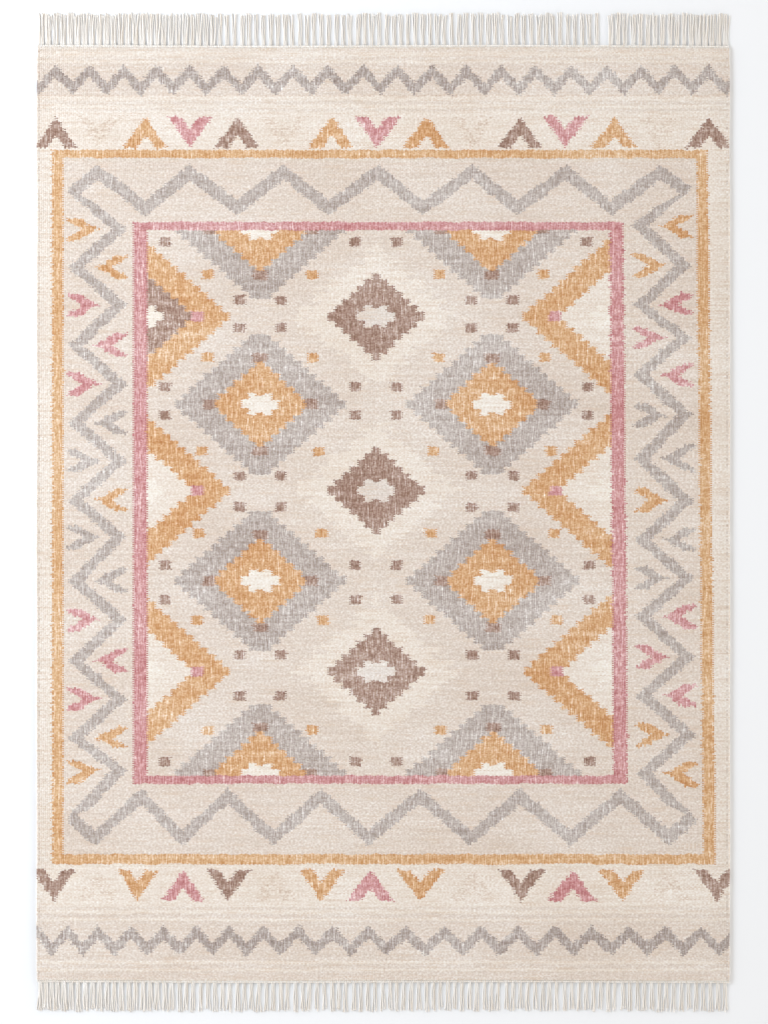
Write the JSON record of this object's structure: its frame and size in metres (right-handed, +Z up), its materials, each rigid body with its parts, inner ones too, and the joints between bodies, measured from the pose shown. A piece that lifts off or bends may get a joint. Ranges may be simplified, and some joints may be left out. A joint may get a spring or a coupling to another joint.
{
  "type": "kilim rug",
  "caption": "Flat-woven wool kilim rug lying flat, with stepped diamonds inside frames and zigzag borders, bound sides and a cotton warp fringe at both ends.",
  "frame": {"origin": "on the floor, under the middle of the rug with its fringes", "axes": "+X across the rug's width, +Y along its warps towards the head fringe, +Z up out of the face"},
  "size_m": [1.5999, 2.3075, 0.0059],
  "materials": {
    "wool_flatweave": "hand-woven wool weft-faced flat weave, matt, beige ground with yellow, pink, brown and grey",
    "cotton_warp": "undyed plied cotton warp yarn, matt, loose locks"
  },
  "bodies": {
    "root": {"woven_cloth": "wool_flatweave", "head_fringe": "cotton_warp", "foot_fringe": "cotton_warp"}
  },
  "joints": []
}
